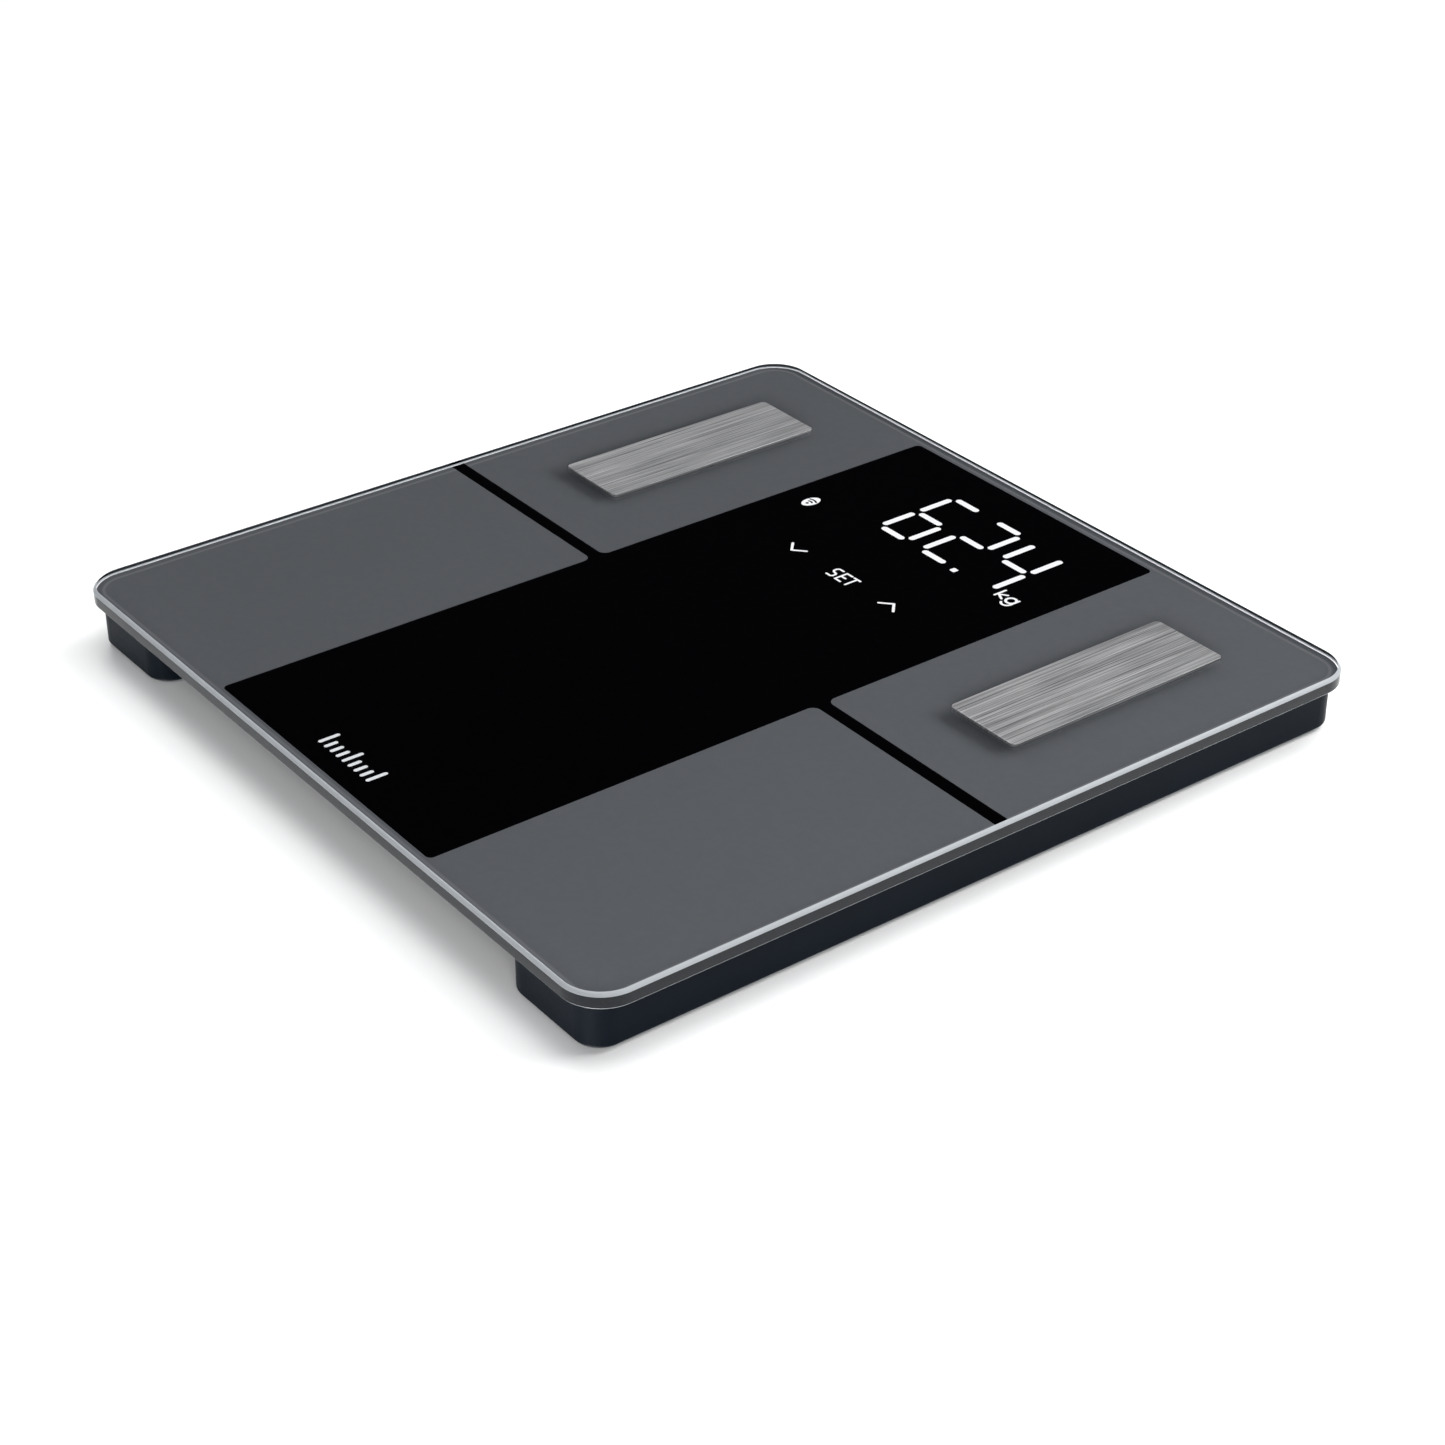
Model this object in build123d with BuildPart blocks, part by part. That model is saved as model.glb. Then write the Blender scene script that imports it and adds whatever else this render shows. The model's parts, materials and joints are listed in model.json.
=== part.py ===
from build123d import *
from math import atan2, cos, degrees, hypot, pi, sin
import os

# Glass bathroom scale: a square glass platform on two full-length rails, with a
# centre housing between them.  +Z is up, +Y points at the display end, +X is the
# user's right, and the origin is on the floor under the middle of the platform.

os.makedirs("parts", exist_ok=True)

# ---------------------------------------------------------------- driving dimensions
plate_size = 300.0
plate_corner = 14.0
glass_top = 22.6
glass_thickness = 5.2
glass_top_round = 1.1
glass_bottom_round = 0.5
print_thickness = 0.2
print_inset = 0.9
tape_thickness = 0.5

glass_bottom = glass_top - glass_thickness
film_bottom = glass_bottom - print_thickness
shell_top = film_bottom - tape_thickness

# printed band and the cross bar between the grey fields
band_width = 122.4
band_length = 289.2
band_corner = 2.0
cross_width = 5.0
cross_y = 0.6
field_corner = 3.0

# steel foot electrodes on the glass
electrode_width = 30.2
electrode_length = 90.0
electrode_corner = 2.0
electrode_thickness = 0.9
electrode_edge = 0.25
electrode_x = 105.3
electrode_y = 73.5
bond_thickness = 0.15
bond_inset = 1.0
bond_corner = 1.2
stud_x = 95.5
stud_radius = 1.5
stud_bottom = 13.0
stud_hole_radius = 2.5
washer_radius = 4.5
washer_thickness = 0.5
terminal_radius = 3.2
terminal_thickness = 0.5
terminal_tail = 9.0
terminal_tail_width = 2.4
nut_height = 2.4
nut_across_flats = 5.5
electrode_bottom = glass_top + bond_thickness

# rails
rail_x = 124.15
rail_width = 43.3
rail_length = 293.2
rail_corner = 8.5
rail_bottom = 1.5
rail_edge = 1.2
rail_wall = 2.5
rail_floor = 2.0
rail_rib = 1.6
rail_rib_top = 11.5
rail_floor_top = rail_bottom + rail_floor
rail_inner_x = rail_x - rail_width / 2

# load cells and feet
foot_y = 118.0
well_radius = 18.3
well_wall = 2.2
floor_hole_radius = 16.8
cell_size = 34.0
cell_thickness = 2.2
cell_bottom = 8.9
cell_corner = 3.0
cell_tongue = 14.0
cell_slot = 2.5
cell_slot_corner = 1.5
cell_end_rim = 6.0
cell_hole_radius = 1.3
cell_hole_inset = 3.0
cell_top = cell_bottom + cell_thickness
cap_size = 37.0
cap_wall = 3.5
cap_roof = 2.0
cap_corner = 2.5
foot_gap = 0.3
cup_radius = 16.4
cup_bottom = 1.2
flange_radius = 17.9
flange_thickness = 1.8
boss_radius = 4.5
boss_height = 2.0
pad_radius = 14.5
pad_thickness = 2.2
pad_edge = 0.5
pad_stud_radius = 3.0
pad_stud_height = 1.7
gauge_length = 6.0
gauge_width = 4.5
gauge_thickness = 0.3
gauge_y = foot_y - 7.0

# centre housing
housing_near = 0.0
housing_far = 138.0
housing_bottom = 2.5
housing_floor = 2.0
housing_wall = 2.0
housing_edge = 1.5
housing_width = 2 * rail_inner_x
housing_length = housing_far - housing_near
housing_y = (housing_far + housing_near) / 2
housing_floor_top = housing_bottom + housing_floor

# blank label under the housing
label_width = 62.0
label_length = 26.0
label_corner = 1.5
label_thickness = 0.15
label_y = 90.0

# batteries and their bay
cell_count = 3
battery_radius = 5.1
battery_body = 43.7
battery_nub_radius = 1.9
battery_nub = 0.8
battery_pitch = 10.8
battery_y = 25.0
battery_z = 9.5
battery_seam = 0.3
bay_half_width = 26.2
bay_near = 4.8
bay_far = 46.5
bay_wall = 1.6
bay_roof_bottom = 14.9
contact_thickness = 0.4
contact_width = 8.0
contact_height = 7.0
contact_dimple = 1.5

# battery door
door_half_width = 25.0
door_near = 7.0
door_far = 43.0
door_gap = 0.35
door_thickness = 1.5
rim_top = 5.5
rim_inset = 1.5
rebate_top = 4.3
tab_x = 15.0
tab_width = 8.0
tab_reach = 2.0
tab_bottom = 3.6
tab_top = 4.6
tab_play = 0.5
tab_pocket = 5.0
lip_top = 3.3
latch_width = 10.0
latch_leaf = 0.8
latch_radius = 1.7
latch_height = 5.0
latch_slot_far = 51.6
latch_slot_top = 9.4
latch_play = 1.0
latch_nib = 1.0
latch_nib_height = 0.8
latch_nib_up = 1.2
tab_root = 1.5
door_corner = 0.6
grip_y = 35.0
grip_pitch = 2.4
grip_length = 14.0
grip_width = 1.0
grip_height = 0.3

# circuit board and what it carries
board_half_width = 64.0
board_near = 54.0
board_far = 134.0
board_bottom = 8.2
board_thickness = 1.6
board_top = board_bottom + board_thickness
board_screw_x = 60.0
board_screw_near = 58.0
board_screw_far = 130.0
board_boss_radius = 3.4
screw_radius = 1.1
screw_length = 6.0
screw_head_radius = 2.3
screw_head_height = 1.4
diffuser_thickness = 0.3
light_box_half_width = 55.0
light_box_near = 79.0
light_box_far = 131.0
light_box_top = film_bottom - diffuser_thickness
connector_y = (72.0, 92.0)
connector_x = 60.0
connector_width = 6.5
connector_length = 7.0
connector_height = 5.0
touch_pad_radius = 4.5
battery_connector = (42.0, 58.0)
board_corner = 2.0
screw_recess = (2.6, 0.5)
led_size = (1.6, 0.8)
led_height = 0.6
chip_position = (20.0, 100.0)
chip_size = 12.0
chip_thickness = 1.4
chip_edge = 0.25
radio_board_position = (-40.0, 70.0)
radio_board_size = (13.0, 18.0)
radio_board_thickness = 0.8
radio_can_y = 68.0
radio_can_size = 11.0
radio_can_corner = 0.5
radio_can_height = 1.6

# digits of the reading: centre line of the row, and one digit's segments
digit_y = 109.5
digit_pitch = 21.85
first_digit_x = -35.25
segment_width = 2.5
segment_across = 11.2
segment_along = 14.0
segment_row = 17.1
segment_column = 7.0
segment_rise = 8.55
point_position = (19.8, 91.6)
point_size = 2.4
point_corner = 0.5
unit_stroke = 0.9
unit_position = (45.8, 92.4)
unit_window = (10.6, 9.4)
window_margin = 0.6
radio_position = (-49.3, 84.6)
radio_size = (5.0, 7.8)
radio_arcs_low = 1.7
radio_arc_radii = (1.7, 3.2)
radio_arc_stroke = 0.75
radio_dot = 0.6

# touch keys and the graduation mark near the user's heels
key_y = 58.4
key_x = (-24.8, 1.0, 25.7)
key_stroke = 0.95
letter_stroke = 0.85
chevron_half_width = 3.8
chevron_height = 3.5
letter_height = 5.4
mark_y = -133.4
mark_pitch = 3.5
mark_stroke = 1.5
mark_ticks = 9

# inner leads
cable_radius = 1.1
cable_z = 13.4
cable_bend = 6.0
cable_notch = 5.0
lead_radius = 0.7
far_notch_y = 92.0
lead_z = 12.0
lead_y = 38.0
lead_around_y = 49.6
lead_bend = 2.0
lead_left_x = -34.0
lead_plug_x = (40.0, 44.0)
electrode_lead_turn = (76.0, 84.0)
electrode_lead_bend = 2.5
cable_turn_x = 82.0
near_notch_y = 18.0

SEGMENTS = {
    "a": ((0, segment_row), segment_across, 0),
    "b": ((segment_column, segment_rise), segment_along, 90),
    "c": ((segment_column, -segment_rise), segment_along, 90),
    "d": ((0, -segment_row), segment_across, 0),
    "e": ((-segment_column, -segment_rise), segment_along, 90),
    "f": ((-segment_column, segment_rise), segment_along, 90),
    "g": ((0, 0), segment_across, 0),
}
READING = {1: "acdefg", 2: "abdeg", 3: "bcfg"}
SIDES = {"left": -1, "right": 1}
ENDS = {"near": -1, "far": 1}


# ---------------------------------------------------------------- helpers
def save(piece, name):
    # Labels a finished piece and writes it as its own STEP file.
    piece.part.label = name
    export_step(piece.part, f"parts/{name}.step")


def level(z, x=0.0, y=0.0):
    # A horizontal plane at height z with its origin over (x, y).
    return Plane((x, y, z))


def stroke(points, width):
    # Round-ended bars along a line of points, added to the open sketch.
    for (x1, y1), (x2, y2) in zip(points, points[1:]):
        turn = degrees(atan2(y2 - y1, x2 - x1))
        with Locations(((x1 + x2) / 2, (y1 + y2) / 2)):
            SlotCenterToCenter(hypot(x2 - x1, y2 - y1), width, rotation=turn)


def arc_points(center, radius, start, end, steps=6):
    # Points along an arc, with angles in degrees.
    angles = [(start + (end - start) * step / steps) * pi / 180 for step in range(steps + 1)]
    return [(center[0] + radius * cos(a), center[1] + radius * sin(a)) for a in angles]


def digit_segments(number, letters):
    # The lettered segments of one digit place, added to the open sketch.
    for letter in letters:
        (x, y), length, turn = SEGMENTS[letter]
        with Locations((first_digit_x + number * digit_pitch + x, digit_y + y)):
            SlotOverall(length, segment_width, rotation=turn)


def lead(points, radius, bend):
    # A round lead along straight runs joined by tangent arcs.
    with BuildPart() as run:
        with BuildLine() as path:
            if len(points) > 2:
                FilletPolyline(*points, radius=bend)
            else:
                Line(*points)
        with BuildSketch(Plane(path.line @ 0, z_dir=path.line % 0)):
            Circle(radius)
        sweep()
    return run.part


# ---------------------------------------------------------------- marks seen through the glass
with BuildSketch() as reading_marks:
    for place, lit in READING.items():
        digit_segments(place, lit)
    with Locations(point_position):
        RectangleRounded(point_size, point_size, point_corner)

# "kg" beside the last digit: k is a stem with two arms, g a bowl with a hooked tail.
with BuildSketch() as unit_marks:
    stroke([(41.1, 91.1), (41.1, 96.1)], unit_stroke)
    stroke([(44.2, 94.3), (41.6, 92.6), (44.5, 91.1)], unit_stroke)
    with Locations((47.6, 92.7)):
        Circle(2.35)
        Circle(1.35, mode=Mode.SUBTRACT)
    stroke([(49.5, 94.6), (49.5, 90.6)], unit_stroke)
    stroke(arc_points((47.6, 90.6), 1.9, 0, -150), unit_stroke)

# A light oval with wireless arcs left dark in it.
with BuildSketch() as radio_marks:
    with Locations(radio_position):
        Ellipse(radio_size[0] / 2, radio_size[1] / 2)
with BuildSketch() as radio_arcs:
    arc_center = (radio_position[0], radio_position[1] - radio_arcs_low)
    for arc_radius in radio_arc_radii:
        stroke(arc_points(arc_center, arc_radius, 58, 122, 4), radio_arc_stroke)
    with Locations(arc_center):
        Circle(radio_dot)
with BuildSketch() as radio_icon:
    add(radio_marks.sketch)
    add(radio_arcs.sketch, mode=Mode.SUBTRACT)

# Down arrow, SET and up arrow.
with BuildSketch() as key_marks:
    for x, tip in ((key_x[0], -1), (key_x[2], 1)):
        low, high = key_y - tip * chevron_height / 2, key_y + tip * chevron_height / 2
        stroke([(x - chevron_half_width, low), (x, high), (x + chevron_half_width, low)], key_stroke)
    low, high = key_y - letter_height / 2, key_y + letter_height / 2
    s_left, s_right = key_x[1] - 5.6, key_x[1] - 3.0
    s_points = [(s_right, high), (s_left + 0.6, high), (s_left, high - 0.7), (s_left, key_y + 0.7)]
    s_points += [(s_left + 0.7, key_y), (s_right - 0.4, key_y - 0.3), (s_right, key_y - 0.9)]
    s_points += [(s_right, low + 0.6), (s_right - 0.6, low), (s_left, low)]
    stroke(s_points, letter_stroke)
    e_left, e_right = key_x[1] - 1.0, key_x[1] + 1.7
    stroke([(e_right, high), (e_left, high), (e_left, low), (e_right, low)], letter_stroke)
    stroke([(e_left, key_y), (e_right - 0.4, key_y)], letter_stroke)
    stroke([(key_x[1] + 2.9, high), (key_x[1] + 5.9, high)], letter_stroke)
    stroke([(key_x[1] + 4.4, high), (key_x[1] + 4.4, low)], letter_stroke)

# A plain row of graduation ticks, every fourth one long.
with BuildSketch() as graduation_marks:
    for tick in range(mark_ticks):
        x = (tick - (mark_ticks - 1) / 2) * mark_pitch
        reach = 6.2 if tick % 4 == 0 else 3.4
        stroke([(x, mark_y - 3.0), (x, mark_y - 3.0 + reach)], mark_stroke)


# ---------------------------------------------------------------- platform
def platform():
    with BuildPart() as glass_platform:
        with BuildSketch(level(glass_bottom)):
            RectangleRounded(plate_size, plate_size, plate_corner)
        extrude(amount=glass_thickness)
        fillet(glass_platform.faces().sort_by(Axis.Z)[-1].edges(), glass_top_round)
        fillet(glass_platform.faces().sort_by(Axis.Z)[0].edges(), glass_bottom_round)
        with Locations((-stud_x, electrode_y, glass_top), (stud_x, electrode_y, glass_top)):
            Hole(stud_hole_radius, depth=glass_thickness)
    save(glass_platform, "glass_platform")

    with BuildSketch() as band:
        RectangleRounded(band_width, band_length, band_corner)
        with Locations((0, cross_y)):
            Rectangle(plate_size - 2 * print_inset, cross_width)
        joints = [v for v in band.vertices() if abs(abs(v.X) - band_width / 2) < 0.01 and abs(v.Y) < 9]
        fillet(joints, field_corner)

    marks = (reading_marks, unit_marks, radio_icon, key_marks, graduation_marks)
    with BuildPart() as black_print:
        with BuildSketch(level(film_bottom)):
            add(band.sketch)
            for mark in marks:
                add(mark.sketch, mode=Mode.SUBTRACT)
        extrude(amount=print_thickness)
    save(black_print, "black_print")

    with BuildPart() as grey_print:
        with BuildSketch(level(film_bottom)):
            film_size = plate_size - 2 * print_inset
            RectangleRounded(film_size, film_size, plate_corner - print_inset)
            add(band.sketch, mode=Mode.SUBTRACT)
            with Locations((-stud_x, electrode_y), (stud_x, electrode_y)):
                Circle(stud_hole_radius, mode=Mode.SUBTRACT)
        extrude(amount=print_thickness)
    save(grey_print, "grey_print")

    named_marks = {
        "lit_reading": reading_marks,
        "lit_unit": unit_marks,
        "lit_radio_icon": radio_icon,
        "key_legends": key_marks,
        "graduation_mark": graduation_marks,
    }
    for name, mark in named_marks.items():
        with BuildPart() as inlay:
            with BuildSketch(level(film_bottom)):
                add(mark.sketch)
            extrude(amount=print_thickness)
        save(inlay, name)


# ---------------------------------------------------------------- electrodes
def electrodes():
    for name, side in SIDES.items():
        with BuildPart() as electrode:
            with BuildSketch(level(electrode_bottom, side * electrode_x, electrode_y)):
                RectangleRounded(electrode_width, electrode_length, electrode_corner)
            extrude(amount=electrode_thickness)
            fillet(electrode.faces().sort_by(Axis.Z)[-1].edges(), electrode_edge)
            with BuildSketch(level(stud_bottom, side * stud_x, electrode_y)):
                Circle(stud_radius)
            extrude(amount=electrode_bottom - stud_bottom)
        save(electrode, f"electrode_{name}")

    sides = [(side * stud_x, electrode_y) for side in SIDES.values()]
    with BuildPart() as bonds:
        with BuildSketch(level(glass_top)):
            with Locations((-electrode_x, electrode_y), (electrode_x, electrode_y)):
                bond_length = electrode_length - 2 * bond_inset
                RectangleRounded(electrode_width - 2 * bond_inset, bond_length, bond_corner)
            with Locations(*sides):
                Circle(stud_hole_radius, mode=Mode.SUBTRACT)
        extrude(amount=bond_thickness)
    save(bonds, "electrode_bonds")

    with BuildPart() as washers:
        with BuildSketch(level(film_bottom - washer_thickness)):
            with Locations(*sides):
                Circle(washer_radius)
                Circle(stud_radius, mode=Mode.SUBTRACT)
        extrude(amount=washer_thickness)
    save(washers, "stud_washers")

    terminal_bottom = film_bottom - washer_thickness - terminal_thickness
    with BuildPart() as terminals:
        with BuildSketch(level(terminal_bottom)):
            with Locations(*sides):
                Circle(terminal_radius)
            for side in SIDES.values():
                with Locations((side * (stud_x - terminal_tail / 2), electrode_y)):
                    Rectangle(terminal_tail, terminal_tail_width)
            with Locations(*sides):
                Circle(stud_radius, mode=Mode.SUBTRACT)
        extrude(amount=terminal_thickness)
    save(terminals, "ring_terminals")

    with BuildPart() as nuts:
        with BuildSketch(level(terminal_bottom - nut_height)):
            with Locations(*sides):
                RegularPolygon(nut_across_flats / 2, 6, major_radius=False)
                Circle(stud_radius, mode=Mode.SUBTRACT)
        extrude(amount=nut_height)
    save(nuts, "stud_nuts")


# ---------------------------------------------------------------- rails and their tapes
def rails():
    wells = [(0, end * foot_y) for end in ENDS.values()]
    inner_width = rail_width - 2 * rail_wall
    inner_length = rail_length - 2 * rail_wall
    for name, side in SIDES.items():
        x = side * rail_x
        with BuildPart() as rail:
            with BuildSketch(level(rail_bottom, x)):
                RectangleRounded(rail_width, rail_length, rail_corner)
            extrude(amount=shell_top - rail_bottom)
            fillet(rail.faces().sort_by(Axis.Z)[0].edges(), rail_edge)
            with BuildSketch(level(rail_floor_top, x)):
                RectangleRounded(inner_width, inner_length, rail_corner - rail_wall)
            extrude(amount=shell_top - rail_floor_top, mode=Mode.SUBTRACT)
            # ribs across the rail, low enough for the cable to pass over them
            with BuildSketch(level(rail_floor_top, x)):
                with GridLocations(0, 60, 1, 3):
                    Rectangle(inner_width, rail_rib)
                with GridLocations(inner_width / 3, 0, 2, 1):
                    Rectangle(rail_rib, 2 * (foot_y - well_radius))
            extrude(amount=rail_rib_top - rail_floor_top)
            # foot wells: a round seat for the load cell and a smaller hole through the floor
            with BuildSketch(level(rail_floor_top, x)):
                with Locations(*wells):
                    Circle(well_radius + well_wall)
            extrude(amount=cell_bottom - rail_floor_top)
            with BuildSketch(level(rail_floor_top, x)):
                with Locations(*wells):
                    Circle(well_radius)
            extrude(amount=shell_top - rail_floor_top, mode=Mode.SUBTRACT)
            with BuildSketch(level(rail_bottom, x)):
                with Locations(*wells):
                    Circle(floor_hole_radius)
            extrude(amount=rail_floor, mode=Mode.SUBTRACT)
            # room for the square cells and their caps above the seats
            with BuildSketch(level(cell_bottom, x)):
                with Locations(*wells):
                    Rectangle(inner_width, cap_size + 1)
            extrude(amount=shell_top - cell_bottom, mode=Mode.SUBTRACT)
            # cable notches through the inner wall
            for notch_y in (far_notch_y, near_notch_y):
                wall_x = side * (rail_inner_x + rail_wall / 2)
                with BuildSketch(level(shell_top - cable_notch, wall_x, notch_y)):
                    Rectangle(rail_wall + 1, cable_notch)
                extrude(amount=cable_notch, mode=Mode.SUBTRACT)
        save(rail, f"rail_{name}")

        with BuildPart() as tape:
            with BuildSketch(level(shell_top, x)):
                RectangleRounded(rail_width, rail_length, rail_corner)
                RectangleRounded(inner_width, inner_length, rail_corner - rail_wall, mode=Mode.SUBTRACT)
                with Locations(*wells):
                    RectangleRounded(cap_size, cap_size, cap_corner)
            extrude(amount=tape_thickness)
        save(tape, f"rail_tape_{name}")


# ---------------------------------------------------------------- feet
def load_cell(name, x, y, inward):
    # Square steel plate with a U-shaped slot that leaves a tongue rooted at the cable side.
    tongue_length = cell_size - 2 * cell_end_rim
    slot_width = cell_tongue + 2 * cell_slot
    hole_spread = cell_size - 2 * cell_hole_inset
    with BuildPart() as cell:
        with BuildSketch(level(cell_bottom, x, y)):
            RectangleRounded(cell_size, cell_size, cell_corner)
            with Locations((0, -inward * cell_slot / 2)):
                RectangleRounded(slot_width, tongue_length, cell_slot_corner, mode=Mode.SUBTRACT)
            with Locations((0, inward * cell_slot / 2)):
                Rectangle(cell_tongue, tongue_length)
            with GridLocations(hole_spread, hole_spread, 2, 2):
                Circle(cell_hole_radius, mode=Mode.SUBTRACT)
        extrude(amount=cell_thickness)
    save(cell, f"load_cell_{name}")


def cell_cap(name, x, y, inward):
    # Box between the cell's rim and the glass, notched where the cable leaves.
    cap_height = shell_top - cell_top
    with BuildPart() as cap:
        with BuildSketch(level(cell_top, x, y)):
            RectangleRounded(cap_size, cap_size, cap_corner)
        extrude(amount=cap_height)
        with BuildSketch(level(cell_top, x, y)):
            RectangleRounded(cap_size - 2 * cap_wall, cap_size - 2 * cap_wall, cap_corner - 1)
        extrude(amount=cap_height - cap_roof, mode=Mode.SUBTRACT)
        with BuildSketch(level(cell_top, x, y + inward * (cap_size - cap_wall) / 2)):
            Rectangle(cable_notch, cap_wall + 1)
        extrude(amount=cap_height - cap_roof, mode=Mode.SUBTRACT)
    save(cap, f"cell_cap_{name}")


def foot(name, x, y):
    flange_bottom = rail_floor_top + foot_gap
    with BuildPart() as cup:
        with BuildSketch(level(cup_bottom, x, y)):
            Circle(cup_radius)
        extrude(amount=flange_bottom - cup_bottom)
        with BuildSketch(level(flange_bottom, x, y)):
            Circle(flange_radius)
        extrude(amount=flange_thickness)
        with BuildSketch(level(flange_bottom + flange_thickness, x, y)):
            Circle(boss_radius)
        extrude(amount=boss_height)
        with BuildSketch(level(cup_bottom, x, y)):
            Circle(pad_radius)
        extrude(amount=pad_thickness - cup_bottom, mode=Mode.SUBTRACT)
        with BuildSketch(level(pad_thickness, x, y)):
            Circle(pad_stud_radius)
        extrude(amount=pad_stud_height, mode=Mode.SUBTRACT)
    save(cup, f"foot_cup_{name}")

    with BuildPart() as pad:
        with BuildSketch(level(0, x, y)):
            Circle(pad_radius)
        extrude(amount=pad_thickness)
        fillet(pad.faces().sort_by(Axis.Z)[0].edges(), pad_edge)
        with BuildSketch(level(pad_thickness, x, y)):
            Circle(pad_stud_radius)
        extrude(amount=pad_stud_height)
    save(pad, f"rubber_pad_{name}")


def feet():
    for end_name, end in ENDS.items():
        for side_name, side in SIDES.items():
            name = f"{end_name}_{side_name}"
            load_cell(name, side * rail_x, end * foot_y, -end)
            cell_cap(name, side * rail_x, end * foot_y, -end)
            foot(name, side * rail_x, end * foot_y)

    with BuildPart() as gauges:
        with BuildSketch(level(cell_top)):
            for end in ENDS.values():
                with Locations((-rail_x, end * gauge_y), (rail_x, end * gauge_y)):
                    Rectangle(gauge_width, gauge_length)
        extrude(amount=gauge_thickness)
    save(gauges, "strain_gauges")


# ---------------------------------------------------------------- centre housing
def housing():
    bay_mid = (bay_near + bay_far) / 2
    bay_depth = bay_far - bay_near
    door_mid = (door_near + door_far) / 2
    slot_width = latch_width + 2 * latch_play
    with BuildPart() as center_housing:
        with BuildSketch(level(housing_bottom, 0, housing_y)):
            Rectangle(housing_width, housing_length)
        extrude(amount=shell_top - housing_bottom)
        bottom_edges = center_housing.faces().sort_by(Axis.Z)[0].edges().filter_by(Axis.X)
        fillet(bottom_edges, housing_edge)
        with BuildSketch(level(housing_floor_top, 0, housing_y)):
            Rectangle(housing_width - 2 * housing_wall, housing_length - 2 * housing_wall)
        extrude(amount=shell_top - housing_floor_top, mode=Mode.SUBTRACT)

        # battery bay: a closed box whose mouth faces down
        with BuildSketch(level(housing_floor_top, 0, bay_mid)):
            Rectangle(2 * (bay_half_width + bay_wall), bay_depth + 2 * bay_wall)
        extrude(amount=shell_top - housing_floor_top)
        with BuildSketch(level(housing_floor_top, 0, (bay_far + latch_slot_far) / 2)):
            Rectangle(slot_width + 2 * bay_wall, latch_slot_far - bay_far + 2 * bay_wall)
        extrude(amount=latch_slot_top + bay_wall - housing_floor_top)
        with BuildSketch(level(rim_top, 0, bay_mid)):
            Rectangle(2 * bay_half_width, bay_depth)
        extrude(amount=bay_roof_bottom - rim_top, mode=Mode.SUBTRACT)
        with BuildSketch(level(housing_bottom, 0, door_mid)):
            Rectangle(2 * door_half_width, door_far - door_near)
        extrude(amount=rebate_top - housing_bottom, mode=Mode.SUBTRACT)
        with BuildSketch(level(rebate_top, 0, door_mid)):
            Rectangle(2 * (door_half_width - rim_inset), door_far - door_near - 2 * rim_inset)
        extrude(amount=rim_top - rebate_top, mode=Mode.SUBTRACT)
        # pockets for the two hinge tabs, and the slot for the latch and a fingertip
        for x in (-tab_x, tab_x):
            with BuildSketch(level(lip_top, x, door_near - tab_play)):
                Rectangle(tab_width + 2 * tab_play, tab_pocket)
            extrude(amount=rim_top - lip_top, mode=Mode.SUBTRACT)
        with BuildSketch(level(housing_bottom, 0, (door_far - rim_inset + latch_slot_far) / 2)):
            Rectangle(slot_width, latch_slot_far - door_far + rim_inset)
        extrude(amount=latch_slot_top - housing_bottom, mode=Mode.SUBTRACT)

        # bosses under the circuit board
        screw_y = (board_screw_near + board_screw_far) / 2
        with BuildSketch(level(housing_floor_top, 0, screw_y)):
            with GridLocations(2 * board_screw_x, board_screw_far - board_screw_near, 2, 2):
                Circle(board_boss_radius)
        extrude(amount=board_bottom - housing_floor_top)
        with BuildSketch(level(board_top - screw_length, 0, screw_y)):
            with GridLocations(2 * board_screw_x, board_screw_far - board_screw_near, 2, 2):
                Circle(screw_radius)
        extrude(amount=screw_length, mode=Mode.SUBTRACT)
        # cable notches that line up with those in the rails
        for side in SIDES.values():
            for notch_y in (far_notch_y, near_notch_y):
                wall_x = side * (housing_width - housing_wall) / 2
                with BuildSketch(level(shell_top - cable_notch, wall_x, notch_y)):
                    Rectangle(housing_wall + 1, cable_notch)
                extrude(amount=cable_notch, mode=Mode.SUBTRACT)
        # holes where the battery leads leave the bay
        for x in (-1, 1):
            with BuildSketch(Plane((x * (bay_half_width - 0.5), lead_y, lead_z), z_dir=(x, 0, 0))):
                Circle(lead_radius)
            extrude(amount=bay_wall + 1, mode=Mode.SUBTRACT)
    save(center_housing, "center_housing")

    with BuildPart() as housing_tape:
        with BuildSketch(level(shell_top, 0, housing_y)):
            Rectangle(housing_width, housing_length)
            Rectangle(housing_width - 2 * housing_wall, housing_length - 2 * housing_wall, mode=Mode.SUBTRACT)
        extrude(amount=tape_thickness)
    save(housing_tape, "housing_tape")

    with BuildPart() as rating_label:
        with BuildSketch(level(housing_bottom - label_thickness, 0, label_y)):
            RectangleRounded(label_width, label_length, label_corner)
        extrude(amount=label_thickness)
    save(rating_label, "rating_label")


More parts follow.
